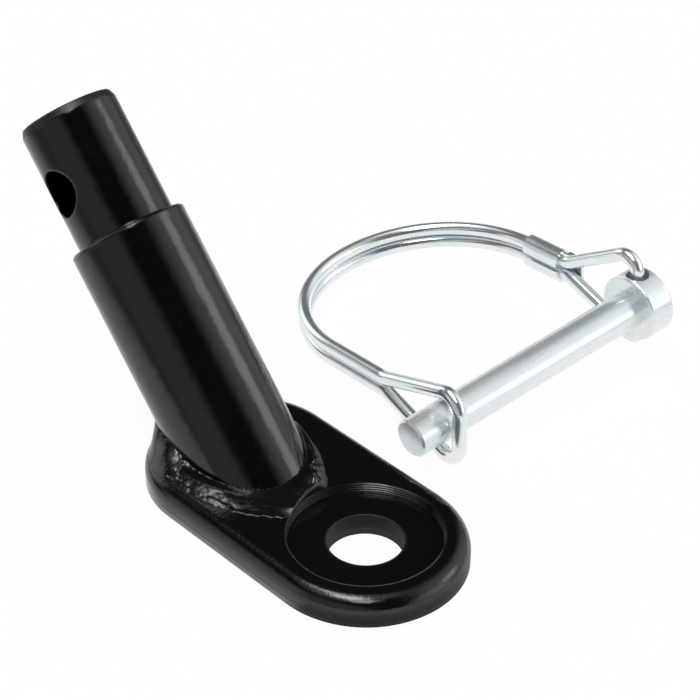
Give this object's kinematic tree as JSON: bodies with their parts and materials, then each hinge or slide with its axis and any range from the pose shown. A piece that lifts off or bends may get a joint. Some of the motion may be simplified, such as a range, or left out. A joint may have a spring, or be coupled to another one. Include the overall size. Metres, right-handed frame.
{
  "type": "bicycle trailer hitch with lock pin",
  "caption": "Welded steel axle plate with a leaning stepped post that a trailer arm slides onto, and the wire bail lock pin that keeps it there.",
  "frame": {"origin": "centre of the axle hole at the underside of the plate", "axes": "+Z along the axle hole, out of the plate's top; +X from the axle hole towards the post, which leans that way; the lock pin lies on the -Y side"},
  "size_m": [0.089, 0.0888, 0.0525],
  "materials": {
    "black_coat": "gloss powder coat",
    "zinc_plate": "bright zinc plating"
  },
  "bodies": {
    "hitch": {"hitch_plate": "black_coat", "hitch_post": "black_coat", "weld_bead": "black_coat", "lock_pin": "zinc_plate"},
    "bail": {"wire_bail": "zinc_plate", "bail_sleeve": "zinc_plate"}
  },
  "joints": [
    {"name": "bail_swing", "type": "hinge", "parent": "hitch", "child": "bail", "pos_m": [0.00876, -0.07021, 0.00962], "axis": [0.0798, 0.07, 0.9943], "range_deg": [-245, 0], "deforming": ["wire_bail"]}
  ]
}
